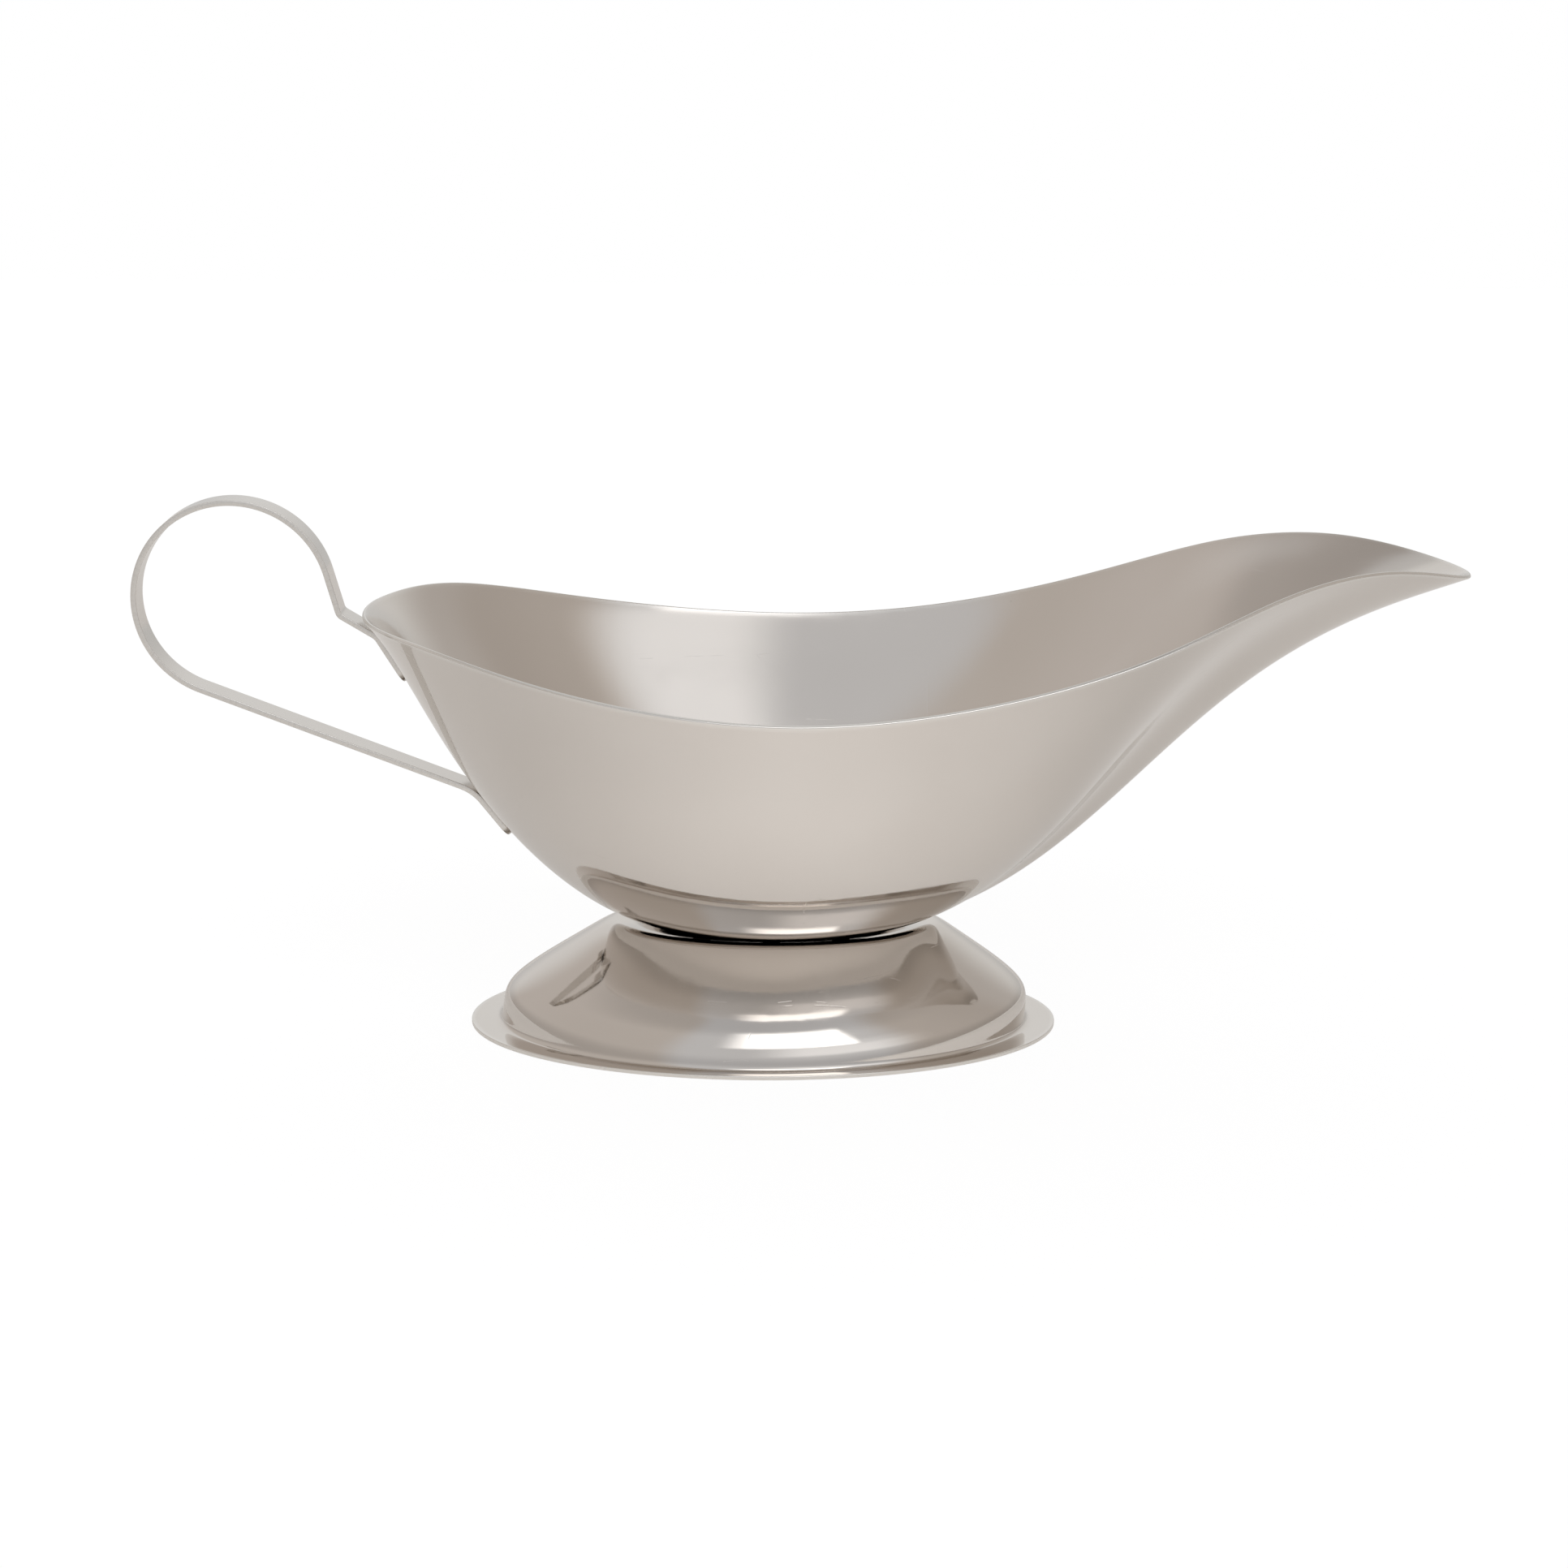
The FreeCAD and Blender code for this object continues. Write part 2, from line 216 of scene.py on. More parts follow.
def steel(name, light, dark, rough, grain, grain_depth, peel_depth, haze, along=None):
    """Stainless steel: uneven tone, orange peel, buffing grain, smears, hairlines, pits, wear.

    Grain is the size in mm of one buffing mark along x, y and z, coarser than the real
    lines of about 0.02 mm, which are too fine to show; with along, the first of them runs
    along that attribute.  The depths are in mm, and haze is what a smear adds to roughness.
    """
    material = bpy.data.materials.new(name)
    material.use_nodes = True
    tree = material.node_tree
    tree.nodes.clear()
    place = add(tree, "ShaderNodeTexCoord").outputs["Object"]
    in_mm = add(tree, "ShaderNodeVectorMath", {0: place, "Scale": 1 / mm}, operation="SCALE")
    follow = in_mm
    if along:
        run = add(tree, "ShaderNodeAttribute", attribute_name=along).outputs["Fac"]
        run = add(tree, "ShaderNodeMath", {0: run, 1: 1 / mm}, operation="MULTIPLY")
        across = add(tree, "ShaderNodeSeparateXYZ", {0: in_mm}).outputs["Y"]
        follow = add(tree, "ShaderNodeCombineXYZ", {0: run, 1: across})
    cells = add(tree, "ShaderNodeVectorMath", {0: follow, 1: [1 / size for size in grain]},
                operation="MULTIPLY")
    buffing = add(tree, "ShaderNodeTexNoise", {"Vector": cells, "Scale": 1.0, "Detail": 3.0})
    peel = add(tree, "ShaderNodeTexNoise", {"Vector": in_mm, "Scale": 1 / PEEL, "Detail": 1.0})
    sheet_tone = add(tree, "ShaderNodeTexNoise", {"Vector": in_mm, "Scale": 1 / TONE,
                                                  "Detail": 2.0})
    smear = add(tree, "ShaderNodeTexNoise", {"Vector": in_mm, "Scale": 1 / SMEAR, "Detail": 4.0,
                                             "Distortion": 0.6})
    smear = add(tree, "ShaderNodeMapRange", {"Value": smear, "From Min": SMEAR_SHOWS[0],
                                             "From Max": SMEAR_SHOWS[1]})
    squeezed = add(tree, "ShaderNodeVectorMath", {0: in_mm, 1: HAIRLINE_SQUEEZE},
                   operation="MULTIPLY")
    hair = add(tree, "ShaderNodeTexVoronoi", {"Vector": squeezed, "Scale": 1 / HAIRLINE_SPACE},
               feature="DISTANCE_TO_EDGE")
    hair = add(tree, "ShaderNodeMapRange", {"Value": hair, "From Min": 0.0,
                                            "From Max": HAIRLINE / HAIRLINE_SPACE,
                                            "To Min": 1.0, "To Max": 0.0})
    broken = add(tree, "ShaderNodeMapRange", {"Value": peel, "From Min": SCRATCH_SHOWS[0],
                                              "From Max": SCRATCH_SHOWS[1]})
    hair = add(tree, "ShaderNodeMath", {0: hair, 1: broken}, operation="MULTIPLY")
    pits = add(tree, "ShaderNodeTexVoronoi", {"Vector": in_mm, "Scale": 1 / PIT_SPACE})
    chance = add(tree, "ShaderNodeSeparateColor", {0: pits.outputs["Color"]})
    size = add(tree, "ShaderNodeMath", {0: chance, 1: PIT / PIT_SPACE}, operation="MULTIPLY")
    pit = add(tree, "ShaderNodeMath", {0: pits.outputs["Distance"], 1: size},
              operation="LESS_THAN")
    edge = add(tree, "ShaderNodeAttribute", attribute_name="to_edge").outputs["Fac"]
    edge = add(tree, "ShaderNodeMath", {0: edge}, operation="ABSOLUTE")
    ragged = add(tree, "ShaderNodeMath", {0: buffing, 1: WORN_UNEVEN, 2: edge},
                 operation="MULTIPLY_ADD")
    worn = add(tree, "ShaderNodeMapRange", {"Value": ragged, "From Min": WEAR_SHOWS[0],
                                            "From Max": WEAR_SHOWS[1]})

    tone = add(tree, "ShaderNodeMix", {"Factor": sheet_tone, "A": colour(dark),
                                       "B": colour(light)}, data_type="RGBA")
    for where, marked in ((worn, WORN_COLOUR), (pit, PIT_COLOUR)):
        tone = add(tree, "ShaderNodeMix", {"Factor": where, "A": tone, "B": colour(marked)},
                   data_type="RGBA")
    gloss = add(tree, "ShaderNodeMath", {0: buffing, 1: MARK_ROUGH * rough,
                                         2: LEAST_ROUGH * rough}, operation="MULTIPLY_ADD")
    for where, rougher in ((smear, haze), (hair, SCRATCH_HAZE), (worn, WEAR_HAZE)):
        gloss = add(tree, "ShaderNodeMath", {0: where, 1: rougher, 2: gloss},
                    operation="MULTIPLY_ADD")
    bump = add(tree, "ShaderNodeBump", {"Height": peel, "Distance": peel_depth * mm})
    bump = add(tree, "ShaderNodeBump", {"Height": buffing, "Distance": grain_depth * mm,
                                        "Normal": bump})
    marks = add(tree, "ShaderNodeMath", {0: hair, 1: pit}, operation="MAXIMUM")
    bump = add(tree, "ShaderNodeBump", {"Height": marks, "Distance": MARK_DEPTH * mm,
                                        "Normal": bump}, invert=True)
    shader = add(tree, "ShaderNodeBsdfPrincipled", {"Base Color": tone, "Metallic": 1.0,
                                                    "Roughness": gloss, "Normal": bump})
    add(tree, "ShaderNodeOutputMaterial", {"Surface": shader})
    return material


# Buffed to a mirror on a sisal wheel: sharp reflections, a breath of orange peel from the draw.
outside_steel = steel("stainless_steel_mirror_polished", "DBD6D1", "D3CDC7", rough=0.06,
                      grain=(11.0, 11.0, 0.30), grain_depth=0.0008, peel_depth=0.009, haze=0.05)
# The inside is only satin buffed round the walls, so its reflections have soft borders.
inside_steel = steel("stainless_steel_satin_buffed", "DAD5D0", "D4CEC8", rough=0.12,
                     grain=(8.0, 8.0, 0.25), grain_depth=0.0012, peel_depth=0.007, haze=0.05)
# The trimmed edge is eased on a rubber-bonded wheel that leaves fine lines along it.
edge_steel = steel("stainless_steel_wheeled_edge", "E0DCD8", "D2CCC6", rough=0.16,
                   grain=(2.5, 2.5, 0.10), grain_depth=0.002, peel_depth=0.0, haze=0.02)


def placed(x, y, z):
    """A point of the drawing, in the frame."""
    return drawing_zero + Vector((x, y, z)) * mm


mirrored = [(x, -y, z) for x, y, z in RIM_POLES[-2:0:-1]]
full_rim = mirrored[-1:] + RIM_POLES + mirrored[:-1]     # so that the curve starts at the lip
splines = [([placed(*pole) for pole in full_rim], CUBIC, True, RIM_STEPS)]
for wall in (WALL_SIDE, WALL_SPOUT, WALL_BACK):
    splines.append(([(out, out, up) for out, up in wall], SIX_POLES, False, WALL_STEPS))
bowl_drawing = draw_curve("bowl_drawing", splines)

tree, given = new_tree("draw_bowl_from_rim", {"Floor Centre": "Vector", "Floor Half": "Vector",
                                              "Dealing": "Vector", "Columns": "Int",
                                              "Floor Rows": "Int", "Wall Rows": "Int"})
drawing = add(tree, "GeometryNodeObjectInfo", {"Object": given.outputs["Drawing"]})
index = add(tree, "GeometryNodeInputIndex")
curves = []                              # the rim, then the side, spout and back sections
for number in range(len(splines)):
    wanted = add(tree, "FunctionNodeCompare", {"A": index, "B": number}, data_type="INT",
                 operation="EQUAL")
    curves.append(add(tree, "GeometryNodeSeparateGeometry", {0: drawing.outputs["Geometry"],
                                                             "Selection": wanted},
                      domain="CURVE"))
rows = add(tree, "ShaderNodeMath", {0: given.outputs["Floor Rows"],
                                    1: given.outputs["Wall Rows"]})
blank, column, row = press_grid(tree, given.outputs["Columns"], rows)
share = add(tree, "ShaderNodeMath", {0: column, 1: given.outputs["Columns"]}, operation="DIVIDE")
rim = add(tree, "GeometryNodeSampleCurve", {0: curves[0], "Factor": share}, mode="FACTOR",
          data_type="FLOAT_VECTOR").outputs["Position"]
spread = add(tree, "ShaderNodeVectorMath", {0: rim, 1: given.outputs["Floor Centre"]},
             operation="SUBTRACT")
dealt = add(tree, "ShaderNodeVectorMath", {0: spread, 1: given.outputs["Dealing"]},
            operation="MULTIPLY")
away = add(tree, "ShaderNodeVectorMath", {0: dealt}, operation="NORMALIZE")
wall_foot = add(tree, "ShaderNodeVectorMath", {0: away, 1: given.outputs["Floor Half"],
                                               2: given.outputs["Floor Centre"]},
                operation="MULTIPLY_ADD")
ahead = add(tree, "ShaderNodeSeparateXYZ", {0: away})
forward = add(tree, "ShaderNodeMath", {0: ahead, 1: 0.0}, operation="MAXIMUM")
spout_share = add(tree, "ShaderNodeMath", {0: forward, 1: 2.0}, operation="POWER")
backward = add(tree, "ShaderNodeMath", {0: ahead, 1: 0.0}, operation="MINIMUM")
squared = add(tree, "ShaderNodeMath", {0: backward, 1: backward}, operation="MULTIPLY")
aside = add(tree, "ShaderNodeMath", {0: 1.0, 1: squared}, operation="SUBTRACT")
fourth = add(tree, "ShaderNodeMath", {0: aside, 1: aside}, operation="MULTIPLY")
back_share = add(tree, "ShaderNodeMath", {0: 1.0, 1: fourth}, operation="SUBTRACT")
wall_row = add(tree, "ShaderNodeMath", {0: row, 1: given.outputs["Floor Rows"]},
               operation="SUBTRACT")
wall_row = add(tree, "ShaderNodeMath", {0: wall_row, 1: 0.0}, operation="MAXIMUM")
walls = []
for curve in curves[1:]:
    points = add(tree, "GeometryNodeCurveToPoints", {0: curve}, mode="EVALUATED")
    here = add(tree, "GeometryNodeInputPosition")
    walls.append(add(tree, "GeometryNodeSampleIndex", {0: points, "Value": here, "Index": wall_row},
                     data_type="FLOAT_VECTOR", domain="POINT"))
wall = add(tree, "ShaderNodeMix", {"Factor": spout_share, "A": walls[0], "B": walls[1]},
           data_type="VECTOR")
wall = add(tree, "ShaderNodeMix", {"Factor": back_share, "A": wall, "B": walls[2]},
           data_type="VECTOR")
run = add(tree, "ShaderNodeVectorMath", {0: rim, 1: wall_foot}, operation="SUBTRACT")
pressed = add(tree, "ShaderNodeVectorMath", {0: run, 1: wall, 2: wall_foot},
              operation="MULTIPLY_ADD")
floor_share = add(tree, "ShaderNodeMath", {0: row, 1: given.outputs["Floor Rows"]},
                  operation="DIVIDE", use_clamp=True)
place = add(tree, "ShaderNodeMix", {"Factor": floor_share, "A": given.outputs["Floor Centre"],
                                    "B": pressed}, data_type="VECTOR")
inward = add(tree, "ShaderNodeVectorMath", {0: place, 1: rim},
             operation="DISTANCE").outputs["Value"]
finish_tree(tree, given, press_skin(tree, blank, place, inward))

bowl = press("bowl_pressing", tree, {
    "Drawing": bowl_drawing, "Floor Centre": placed(*FLOOR_CENTRE),
    "Floor Half": Vector((*FLOOR_HALF, 0)) * mm,
    "Dealing": Vector((1 / SIDE_LENGTH, 1 / SIDE_WIDTH, 0)),
    "Columns": BOWL_COLUMNS, "Floor Rows": BOWL_FLOOR_ROWS,
    "Wall Rows": (len(WALL_SIDE) - 1) * WALL_STEPS,
    "Material": outside_steel})


def give_gauge(piece, inner, edge, ease):
    """Turns a drawn skin into sheet of even gauge, on its inner side, with an eased edge."""
    piece.data.materials.append(inner)
    piece.data.materials.append(edge)
    wall = piece.modifiers.new("gauge", "SOLIDIFY")
    wall.thickness = SHEET * mm
    wall.offset = -1.0
    wall.use_even_offset = True
    wall.material_offset = 1
    wall.material_offset_rim = 2
    rounded = piece.modifiers.new("eased_edge", "BEVEL")
    rounded.width = ease * mm
    rounded.segments = 3
    rounded.limit_method = "ANGLE"
    rounded.angle_limit = EASED_ANGLE
    rounded.harden_normals = True


give_gauge(bowl, inside_steel, edge_steel, RIM_EASE)
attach(bowl, "root")
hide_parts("bowl")


# ---------------------------------------------------------------- pedestal foot
# The foot is pressed from a second piece of the same sheet: a dished oval top that the
# bowl is welded into, a slope down to a round shoulder, a short drop, and a flat flange
# to stand on.  It is open underneath, and polished as brightly as the bowl.

# rings as (half length, half width, height), from the dished top out to the flange
FOOT_RINGS = [
    (14.5, 6.0, 16.78), (17.0, 8.0, 16.78), (20.5, 10.4, 16.85), (23.8, 12.6, 17.3),
    (26.4, 14.5, 17.8), (28.4, 15.9, 17.2), (31.0, 17.4, 15.5), (34.6, 19.6, 13.1),
    (38.5, 22.1, 10.5), (41.9, 24.5, 7.9), (43.6, 26.2, 6.0), (43.9, 27.5, 4.0),
    (43.9, 28.1, 1.9), (44.1, 28.2, 0.75), (45.2, 28.7, 0.7), (46.4, 29.3, 0.7),
]
FLANGE_EDGE = (49.0, 30.7, 0.7)
FOOT_TOP_X = 1.5                         # how far the foot leans forward at its top
FOOT_EASE = 0.15
FOOT_COLUMNS, FOOT_MIDDLE_ROWS, FOOT_ROWS, FLANGE_ROWS, RING_STEPS = 288, 6, 130, 5, 24

tree, given = new_tree("press_foot_from_rings", {"Lean": "Float", "Gauge": "Float",
                                                 "Zero": "Vector", "Flange Edge": "Vector",
                                                 "Columns": "Int", "Middle Rows": "Int",
                                                 "Slope Rows": "Int", "Flange Rows": "Int"})
drawing = add(tree, "GeometryNodeObjectInfo", {"Object": given.outputs["Drawing"]})
slope_end = add(tree, "ShaderNodeMath", {0: given.outputs["Middle Rows"],
                                         1: given.outputs["Slope Rows"]})
last_row = add(tree, "ShaderNodeMath", {0: slope_end, 1: given.outputs["Flange Rows"]})
rows = add(tree, "ShaderNodeMath", {0: last_row, 1: 1.0})
blank, column, row = press_grid(tree, given.outputs["Columns"], rows)
middle = add(tree, "ShaderNodeMath", {0: row, 1: given.outputs["Middle Rows"]},
             operation="DIVIDE", use_clamp=True)
past_middle = add(tree, "ShaderNodeMath", {0: row, 1: given.outputs["Middle Rows"]},
                  operation="SUBTRACT")
slope = add(tree, "ShaderNodeMath", {0: past_middle, 1: given.outputs["Slope Rows"]},
            operation="DIVIDE", use_clamp=True)
past_slope = add(tree, "ShaderNodeMath", {0: row, 1: slope_end}, operation="SUBTRACT")
flange = add(tree, "ShaderNodeMath", {0: past_slope, 1: given.outputs["Flange Rows"]},
             operation="DIVIDE", use_clamp=True)
ring = add(tree, "GeometryNodeSampleCurve", {0: drawing.outputs["Geometry"], "Factor": slope},
           mode="FACTOR", data_type="FLOAT_VECTOR").outputs["Position"]
ring = add(tree, "ShaderNodeMix", {"Factor": flange, "A": ring, "B": given.outputs["Flange Edge"]},
           data_type="VECTOR")
sizes = add(tree, "ShaderNodeSeparateXYZ", {0: ring})
turn = add(tree, "ShaderNodeMath", {0: column, 1: given.outputs["Columns"]}, operation="DIVIDE")
turn = add(tree, "ShaderNodeMath", {0: turn, 1: 2 * math.pi}, operation="MULTIPLY")
across = add(tree, "ShaderNodeMath", {0: turn}, operation="COSINE")
along = add(tree, "ShaderNodeMath", {0: turn}, operation="SINE")
oval = add(tree, "ShaderNodeCombineXYZ", {0: across, 1: along})
oval = add(tree, "ShaderNodeVectorMath", {0: oval, 1: ring}, operation="MULTIPLY")
oval = add(tree, "ShaderNodeVectorMath", {0: oval, "Scale": middle}, operation="SCALE")
height = add(tree, "ShaderNodeMath", {0: sizes.outputs["Z"], 1: given.outputs["Gauge"]},
             operation="SUBTRACT")
lean = add(tree, "ShaderNodeMath", {0: height, 1: given.outputs["Lean"]}, operation="MULTIPLY")
shift = add(tree, "ShaderNodeCombineXYZ", {0: lean, 2: sizes.outputs["Z"]})
place = add(tree, "ShaderNodeVectorMath", {0: oval, 1: shift})
place = add(tree, "ShaderNodeVectorMath", {0: place, 1: given.outputs["Zero"]})
inward = add(tree, "ShaderNodeVectorMath", {0: ring, 1: given.outputs["Flange Edge"]},
             operation="DISTANCE").outputs["Value"]
skin = press_skin(tree, blank, place, inward)
finish_tree(tree, given, add(tree, "GeometryNodeFlipFaces", {0: skin}))

ring_poles = [Vector(ring) * mm for ring in FOOT_RINGS]
foot_drawing = draw_curve("foot_drawing", [(ring_poles, CUBIC, False, RING_STEPS)])
foot = press("foot_pressing", tree, {
    "Drawing": foot_drawing, "Lean": FOOT_TOP_X / (FOOT_RINGS[0][2] - SHEET),
    "Gauge": SHEET * mm, "Zero": drawing_zero, "Flange Edge": Vector(FLANGE_EDGE) * mm,
    "Columns": FOOT_COLUMNS, "Middle Rows": FOOT_MIDDLE_ROWS, "Slope Rows": FOOT_ROWS,
    "Flange Rows": FLANGE_ROWS, "Material": outside_steel})
give_gauge(foot, inside_steel, edge_steel, FOOT_EASE)
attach(foot, "root")
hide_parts("pedestal_foot")


# ---------------------------------------------------------------- strap handle
# The handle is one strip of stainless steel, sheared to width, with its ends rounded,
# then bent over a mandrel: a tab that lies on the bowl's back, a crank out under the
# rim, the round finger loop, a long straight arm, and a second tab lower down.
STRAP_GAUGE, STRAP_WIDTH = 0.9, 6.0
STRAP_EASE, TAB_CORNER = 0.10, 2.2
LOOP_CENTRE, LOOP_RADIUS = Vector((-86.3, 71.8)), 15.85
TOP_END, TOP_CORNER, TOP_BEND = Vector((-58.54, 58.40)), Vector((-63.19, 65.86)), 2.5
NECK_CORNER, NECK_BEND = Vector((-69.15, 69.43)), 1.4
LOW_CORNER, LOW_END, LOW_BEND = Vector((-47.94, 40.22)), Vector((-41.92, 32.62)), 8.0
LOOP_BENDS = 4                           # the loop's circle is drawn as this many even bends
BEND_STEPS, STRAP_STEP = 40, 0.2
EDGE_FACING = 0.5                        # a face that looks more sideways than this was sheared
FLAT_FIRST = 100                         # how far shading follows the flats, not the eased edges


def tangent_angle(point, side):
    """Where on the loop a straight from an outside point runs into it, in radians."""
    away = point - LOOP_CENTRE
    return math.atan2(away.y, away.x) + side * math.acos(LOOP_RADIUS / away.length)


start = tangent_angle(NECK_CORNER, 1)
stop = tangent_angle(LOW_CORNER, -1) + 2 * math.pi
bend_angle = (stop - start) / LOOP_BENDS
corners = [(TOP_END, 0.0), (TOP_CORNER, TOP_BEND), (NECK_CORNER, NECK_BEND)]
for bend in range(LOOP_BENDS):
    angle = start + (bend + 0.5) * bend_angle
    reach = LOOP_RADIUS / math.cos(bend_angle / 2)
    corners.append((LOOP_CENTRE + Vector((math.cos(angle), math.sin(angle))) * reach, LOOP_RADIUS))
corners += [(LOW_CORNER, LOW_BEND), (LOW_END, 0.0)]

strap_curve = bpy.data.curves.new("strap_drawing", "CURVE")
strap_curve.dimensions = "3D"
route = strap_curve.splines.new("POLY")
route.points.add(len(corners) - 1)
for point, (corner, bend_radius) in zip(route.points, corners):
    point.co = (*placed(corner.x, 0, corner.y), 1)
    point.radius = bend_radius * mm
strap_drawing = bpy.data.objects.new("strap_drawing", strap_curve)
scene.collection.objects.link(strap_drawing)

tree, given = new_tree("bend_strap_along_drawing", {"Width": "Float", "Gauge": "Float",
                                                    "Tab Corner": "Float",
                                                    "Bend Steps": "Int", "Step": "Float",
                                                    "Edge Material": "Material"})
drawing = add(tree, "GeometryNodeObjectInfo", {"Object": given.outputs["Drawing"]})
bends = add(tree, "GeometryNodeFilletCurve", {
    0: drawing.outputs["Geometry"], "Count": given.outputs["Bend Steps"],
    "Radius": add(tree, "GeometryNodeInputRadius"), "Limit Radius": False}, mode="POLY")
even = add(tree, "GeometryNodeSetCurveRadius", {0: bends, "Radius": 1.0})
path = add(tree, "GeometryNodeResampleCurve", {0: even, "Length": given.outputs["Step"]},
           mode="LENGTH")
length = add(tree, "GeometryNodeSplineParameter").outputs["Length"]
caught = add(tree, "GeometryNodeStoreNamedAttribute", {0: path, "Name": "along_strap",
                                                       "Value": length},
             data_type="FLOAT", domain="POINT")
strip = add(tree, "GeometryNodeCurvePrimitiveQuadrilateral", {"Width": given.outputs["Width"],
                                                              "Height": given.outputs["Gauge"]})
strap = add(tree, "GeometryNodeCurveToMesh", {0: caught, "Profile Curve": strip,
                                              "Fill Caps": True})
total = add(tree, "GeometryNodeCurveLength", {0: path})
from_start = add(tree, "GeometryNodeInputNamedAttribute", {"Name": "along_strap"},
                 data_type="FLOAT")
from_stop = add(tree, "ShaderNodeMath", {0: total, 1: from_start}, operation="SUBTRACT")
nearest = add(tree, "ShaderNodeMath", {0: from_start, 1: from_stop}, operation="MINIMUM")
inset = add(tree, "ShaderNodeMath", {0: given.outputs["Tab Corner"], 1: nearest},
            operation="SUBTRACT")
inset = add(tree, "ShaderNodeMath", {0: inset, 1: 0.0}, operation="MAXIMUM")
inset = add(tree, "ShaderNodeMath", {0: inset, 1: inset}, operation="MULTIPLY")
corner = add(tree, "ShaderNodeMath", {0: given.outputs["Tab Corner"],
                                      1: given.outputs["Tab Corner"]}, operation="MULTIPLY")
corner = add(tree, "ShaderNodeMath", {0: corner, 1: inset}, operation="SUBTRACT")
corner = add(tree, "ShaderNodeMath", {0: corner}, operation="SQRT")
half = add(tree, "ShaderNodeMath", {0: given.outputs["Width"], 1: 2.0}, operation="DIVIDE")
straight = add(tree, "ShaderNodeMath", {0: half, 1: given.outputs["Tab Corner"]},
               operation="SUBTRACT")
reach = add(tree, "ShaderNodeMath", {0: straight, 1: corner})
narrow = add(tree, "ShaderNodeMath", {0: reach, 1: half}, operation="DIVIDE")
squeeze = add(tree, "ShaderNodeCombineXYZ", {0: 1.0, 1: narrow, 2: 1.0})
here = add(tree, "GeometryNodeInputPosition")
rounded = add(tree, "ShaderNodeVectorMath", {0: here, 1: squeeze}, operation="MULTIPLY")
shaped = add(tree, "GeometryNodeSetPosition", {0: strap, "Position": rounded})
sideways = add(tree, "ShaderNodeSeparateXYZ", {0: here}).outputs["Y"]
edge = add(tree, "ShaderNodeMath", {0: sideways, 1: half}, operation="DIVIDE")
shaped = add(tree, "GeometryNodeStoreNamedAttribute", {0: shaped, "Name": "to_edge",
                                                       "Value": edge},
             data_type="FLOAT", domain="POINT")
facing = add(tree, "ShaderNodeSeparateXYZ", {0: add(tree, "GeometryNodeInputNormal")})
sideways = add(tree, "ShaderNodeMath", {0: facing.outputs["Y"]}, operation="ABSOLUTE")
sheared = add(tree, "FunctionNodeCompare", {"A": sideways, "B": EDGE_FACING},
              operation="GREATER_THAN")
whole = add(tree, "GeometryNodeRealizeInstances", {0: shaped})
smooth = add(tree, "GeometryNodeSetShadeSmooth", {0: whole, "Shade Smooth": True})
faces = add(tree, "GeometryNodeSetMaterial", {0: smooth, "Material": given.outputs["Material"]})
edges = add(tree, "GeometryNodeSetMaterial", {0: faces, "Selection": sheared,
                                              "Material": given.outputs["Edge Material"]})
add(tree, "NodeGroupOutput", {0: edges})

# Bright rolled strip, left as the mill rolled it: fine lines run the length of the strap.
strap_steel = steel("stainless_steel_strip_mill_finish", "DAD6D1", "CFC9C3", rough=0.13,
                    grain=(14.0, 0.12, 1.0), grain_depth=0.0010, peel_depth=0.004, haze=0.05,
                    along="along_strap")
# The shear leaves a torn edge, with ridges across the gauge that catch the light.
sheared_steel = steel("stainless_steel_sheared_edge", "D2CCC5", "7E756C", rough=0.24,
                      grain=(0.35, 4.0, 1.0), grain_depth=0.014, peel_depth=0.020, haze=0.05,
                      along="along_strap")
strap = press("handle_strap", tree, {
    "Drawing": strap_drawing, "Width": STRAP_WIDTH * mm, "Gauge": STRAP_GAUGE * mm,
    "Tab Corner": TAB_CORNER * mm, "Bend Steps": BEND_STEPS, "Step": STRAP_STEP * mm,
    "Material": strap_steel, "Edge Material": sheared_steel})
ease = strap.modifiers.new("eased_edge", "BEVEL")
ease.width = STRAP_EASE * mm
ease.segments = 2
ease.limit_method = "ANGLE"
ease.angle_limit = EASED_ANGLE
level = strap.modifiers.new("flat_face_shading", "WEIGHTED_NORMAL")
level.mode = "FACE_AREA"
level.weight = FLAT_FIRST
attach(strap, "root")
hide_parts("strap_handle")


# ---------------------------------------------------------------- spot welds
# Resistance spot welds hold the tabs to the bowl and the bowl to its foot.  Each is a
# nugget of melted and frozen steel, hidden between the sheets, blued by the heat.

# Heat tint goes from straw to blue over a nugget that froze in fine ripples.
weld_steel = steel("stainless_steel_weld_nugget", "9A8468", "5C6478", rough=0.42,
                   grain=(0.5, 0.5, 0.5), grain_depth=0.02, peel_depth=0.01, haze=0.1)
for name in ("handle_spot_welds", "foot_spot_welds"):
    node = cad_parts[name]
    for material_slot in node.material_slots:
        material_slot.material = weld_steel


# ---------------------------------------------------------------- table and studio light
# A seamless sweep of white paper inside a light tent of white cloth.  A panel low in front
# and a lamp above it light the boat; the tent is greyer at the sides and bright behind.
FLOOR_HALF_SIZE = 1500.0
PAINTED_POOL_CENTRE, PAINTED_POOL_RADIUS = Vector((5, -75, 0)) * mm, 130 * mm      # a painted pool of light, glowing on the paper where the lamp's light would fall
PAINTED_POOL_LIGHT, PAINTED_EVEN_GLOW, CLEAN_LIGHT = 0.40, 0.12, 0.90
FIBRE = 0.8                              # a clump of paper fibres, coarser than a real one
floor_corners = [(-1, -1), (1, -1), (1, 1), (-1, 1)]
floor_mesh = bpy.data.meshes.new("paper_sweep")
floor_mesh.from_pydata([Vector((x, y, 0)) * FLOOR_HALF_SIZE * mm for x, y in floor_corners],
                       [], [(0, 1, 2, 3)])
sweep = bpy.data.objects.new("paper_sweep", floor_mesh)
scene.collection.objects.link(sweep)
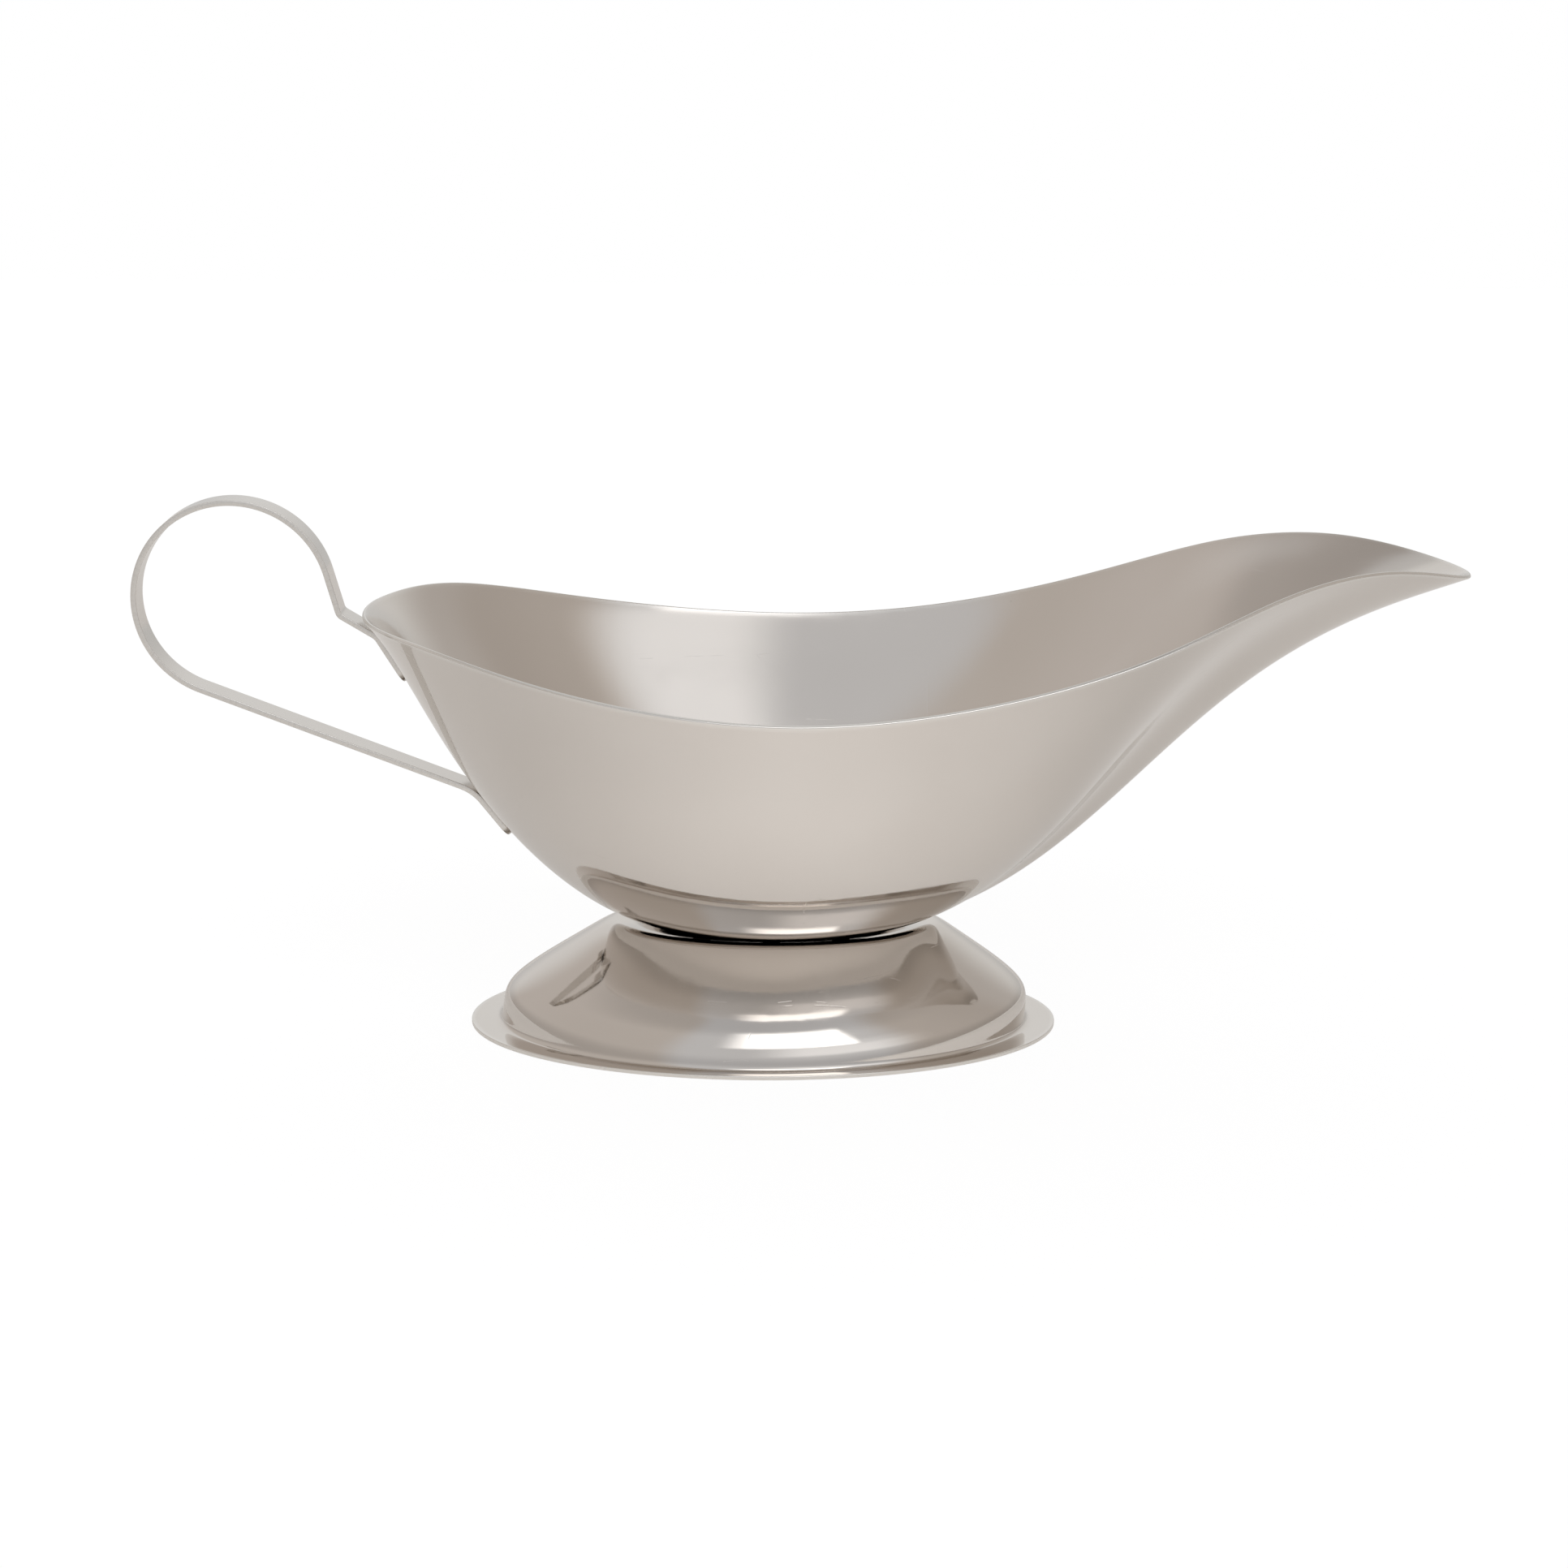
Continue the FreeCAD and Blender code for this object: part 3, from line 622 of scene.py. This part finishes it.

# White paper, lit to a clean white for the camera; in the steel it shows a little warm and
# grey, with a painted pool of light glowing on it in front of the boat.
paper = bpy.data.materials.new("white_paper_matt")
paper.use_nodes = True
tree = paper.node_tree
tree.nodes.clear()
place = add(tree, "ShaderNodeTexCoord").outputs["Object"]
seen = add(tree, "ShaderNodeLightPath").outputs["Is Camera Ray"]
fibre = add(tree, "ShaderNodeTexNoise", {"Vector": place, "Scale": 1 / (FIBRE * mm),
                                         "Detail": 2.0})
pulp = add(tree, "ShaderNodeMix", {"Factor": fibre, "A": colour("EAE9E7"),
                                   "B": colour("F0EFEE")}, data_type="RGBA")
lit = add(tree, "ShaderNodeEmission", {"Color": colour("FFFFFF"), "Strength": CLEAN_LIGHT})
shadowed = add(tree, "ShaderNodeBsdfDiffuse", {"Color": colour("6F7072")})
clean = add(tree, "ShaderNodeAddShader", {0: lit, 1: shadowed})
# painted light: in the steel the paper glows brighter in a pool in front of the boat, and evenly a
# little elsewhere
from_painted_pool = add(tree, "ShaderNodeVectorMath", {0: place, 1: PAINTED_POOL_CENTRE},
                operation="DISTANCE").outputs["Value"]
painted_pool = add(tree, "ShaderNodeMapRange", {"Value": from_painted_pool, "From Min": 0.0,
                                        "From Max": PAINTED_POOL_RADIUS, "To Min": PAINTED_POOL_LIGHT,
                                        "To Max": PAINTED_EVEN_GLOW},
           interpolation_type="SMOOTHSTEP")
painted_pool_glow = add(tree, "ShaderNodeEmission", {"Color": colour("FFFEFD"), "Strength": painted_pool})
matt = add(tree, "ShaderNodeBsdfDiffuse", {"Color": pulp})
in_steel = add(tree, "ShaderNodeAddShader", {0: painted_pool_glow, 1: matt})
surface = add(tree, "ShaderNodeMixShader", {0: seen, 1: in_steel, 2: clean})
add(tree, "ShaderNodeOutputMaterial", {"Surface": surface})
floor_mesh.materials.append(paper)

# The tent by direction, from straight behind, round by the left, the front (at 0) and the
# right: (degrees, sRGB colour).  Then how its brightness goes with height above the table.
TENT_ROUND = [
    (-180, "ECECEB"), (-150, "EAE9E8"), (-125, "D1CBC6"), (-34, "CDC7C1"), (-22, "D7D8DA"),
    (34, "D7D8DA"), (52, "C4BDB6"), (92, "BDB6AF"), (118, "C5C0BB"), (150, "E4E3E1"),
    (180, "ECECEB"),
]
TENT_UP = [(0, 0.78), (18, 1.0), (50, 1.0), (64, 0.80), (90, 0.62)]
# The panel's extra light by height, its sides, and the sides and heights of the lamp above
# it.  Sides and heights are (none, full, full, none) in degrees.
PANEL_UP = [(0, 0.0), (11, 0.06), (17, 0.40), (28, 0.38), (36, 0.16), (44, 0.02), (90, 0.0)]
PANEL_SIDES = (-6, 14, 28, 58)
LAMP_SIDES, LAMP_HEIGHTS, LAMP_LIGHT = (-16, 0, 27, 31), (31, 35, 56, 60), 1.5

studio = bpy.data.worlds.new("light_tent")
scene.world = studio
studio.use_nodes = True
tree = studio.node_tree
tree.nodes.clear()
way = add(tree, "ShaderNodeSeparateXYZ", {0: add(tree, "ShaderNodeTexCoord").outputs["Generated"]})
nearer = add(tree, "ShaderNodeMath", {0: way.outputs["Y"], 1: -1.0}, operation="MULTIPLY")
bearing = add(tree, "ShaderNodeMath", {0: way.outputs["X"], 1: nearer}, operation="ARCTAN2")
bearing = add(tree, "ShaderNodeMath", {0: bearing}, operation="DEGREES")
height = add(tree, "ShaderNodeMath", {0: way.outputs["Z"]}, operation="ARCSINE")
height = add(tree, "ShaderNodeMath", {0: height}, operation="DEGREES")

graded = []                              # each grading: its feed in degrees, ends and stops
for feed, low, high, stops in ((bearing, -180, 180, TENT_ROUND), (height, 0, 90, TENT_UP),
                               (height, 0, 90, PANEL_UP)):
    share = add(tree, "ShaderNodeMapRange", {"Value": feed, "From Min": low, "From Max": high})
    grading = add(tree, "ShaderNodeValToRGB", {0: share})
    grading.color_ramp.interpolation = "EASE"
    points = grading.color_ramp.elements
    for k, (at, level) in enumerate(stops):
        where = (at - low) / (high - low)
        point = points[k] if k < len(points) else points.new(where)
        point.position = where
        point.color = colour(level) if isinstance(level, str) else (level, level, level, 1)
    graded.append(grading.outputs["Color"])
tent_round, tent_up, panel_up = graded

windows = []                             # each is 1 between its full sides and 0 outside
for feed, sides in ((bearing, PANEL_SIDES), (bearing, LAMP_SIDES), (height, LAMP_HEIGHTS)):
    slopes = []
    for none, full in (sides[:2], sides[:1:-1]):
        slopes.append(add(tree, "ShaderNodeMapRange", {"Value": feed, "From Min": none,
                                                       "From Max": full},
                          interpolation_type="SMOOTHSTEP"))
    windows.append(add(tree, "ShaderNodeMath", {0: slopes[0], 1: slopes[1]},
                       operation="MULTIPLY"))
panel_window, lamp_sides, lamp_heights = windows

tent = add(tree, "ShaderNodeVectorMath", {0: tent_round, 1: tent_up}, operation="MULTIPLY")
panel = add(tree, "ShaderNodeVectorMath", {0: panel_up, "Scale": panel_window},
            operation="SCALE")
lamp = add(tree, "ShaderNodeMath", {0: lamp_sides, 1: lamp_heights}, operation="MULTIPLY")
lamp = add(tree, "ShaderNodeMath", {0: lamp, 1: LAMP_LIGHT}, operation="MULTIPLY")
total = add(tree, "ShaderNodeVectorMath", {0: tent, 1: panel})
total = add(tree, "ShaderNodeVectorMath", {0: total, 1: lamp})
behind = add(tree, "ShaderNodeBackground", {"Color": (1, 1, 1, 1), "Strength": 1.0})
around = add(tree, "ShaderNodeBackground", {"Color": total, "Strength": 1.0})
seen = add(tree, "ShaderNodeLightPath").outputs["Is Camera Ray"]
tent_light = add(tree, "ShaderNodeMixShader", {0: seen, 1: around, 2: behind})
add(tree, "ShaderNodeOutputWorld", {"Surface": tent_light})
scene.view_settings.view_transform = "Standard"
